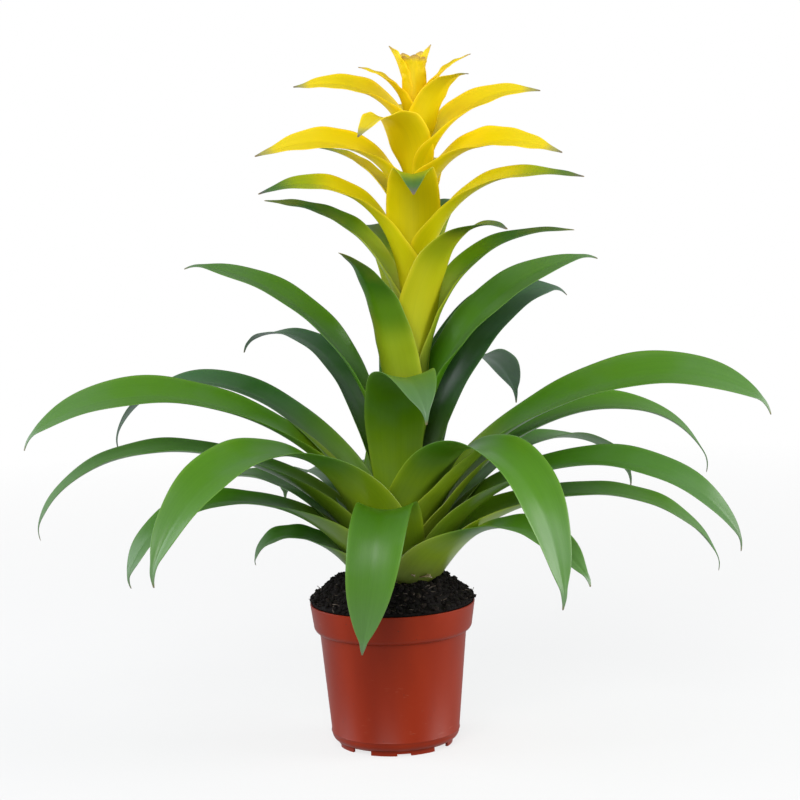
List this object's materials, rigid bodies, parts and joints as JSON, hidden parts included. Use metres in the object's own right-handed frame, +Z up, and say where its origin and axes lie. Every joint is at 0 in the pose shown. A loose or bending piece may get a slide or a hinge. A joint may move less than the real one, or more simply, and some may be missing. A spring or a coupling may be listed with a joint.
{
  "type": "potted bromeliad plant",
  "caption": "Bromeliad with a rosette of arching green strap leaves and an upright spike of pointed yellow bracts, growing in soil in a round plastic nursery pot.",
  "frame": {"origin": "on the pot's axis, on the surface that its foot ring stands on", "axes": "+Z up along the pot's axis, -Y towards the front of the plant, +X to its right as seen from the front"},
  "size_m": [0.523, 0.3779, 0.5084],
  "materials": {
    "pot_plastic": "thin injection-moulded plastic in terracotta red, satin, with light scuffs",
    "potting_soil": "crumbly dark brown peat with lighter chips and fibres, matte",
    "plant_stem": "smooth pale green stalk, satin",
    "green_leaf": "smooth waxy leaf, satin gloss, fine lengthwise veins, yellow-green at the base and dark green beyond",
    "yellow_bract": "smooth waxy bract, satin, yellow, with green and purple-grey towards the point"
  },
  "bodies": {
    "root": {"pot": "pot_plastic", "soil": "potting_soil", "stem": "plant_stem", "leaf_01": "green_leaf", "leaf_02": "green_leaf", "leaf_03": "green_leaf", "leaf_04": "green_leaf", "leaf_05": "green_leaf", "leaf_06": "green_leaf", "leaf_07": "green_leaf", "leaf_08": "green_leaf", "leaf_09": "green_leaf", "leaf_10": "green_leaf", "leaf_11": "green_leaf", "leaf_12": "green_leaf", "leaf_13": "green_leaf", "leaf_14": "green_leaf", "leaf_15": "green_leaf", "leaf_16": "green_leaf", "leaf_17": "green_leaf", "leaf_18": "green_leaf", "leaf_19": "green_leaf", "leaf_20": "green_leaf", "leaf_21": "green_leaf", "leaf_22": "green_leaf", "leaf_23": "green_leaf", "leaf_24": "green_leaf", "leaf_25": "green_leaf", "leaf_26": "green_leaf", "bract_01": "yellow_bract", "bract_02": "yellow_bract", "bract_03": "yellow_bract", "bract_04": "yellow_bract", "bract_05": "yellow_bract", "bract_06": "yellow_bract", "bract_07": "yellow_bract", "bract_08": "yellow_bract", "bract_09": "yellow_bract", "bract_10": "yellow_bract", "bract_11": "yellow_bract", "bract_12": "yellow_bract", "bract_13": "yellow_bract", "bract_14": "yellow_bract", "bract_15": "yellow_bract", "bract_16": "yellow_bract", "bract_17": "yellow_bract", "bract_18": "yellow_bract", "bract_19": "yellow_bract", "bract_20": "yellow_bract", "crown_bract_1": "yellow_bract", "crown_bract_2": "yellow_bract", "crown_bract_3": "yellow_bract", "crown_bract_4": "yellow_bract", "crown_bract_5": "yellow_bract"}
  },
  "joints": []
}
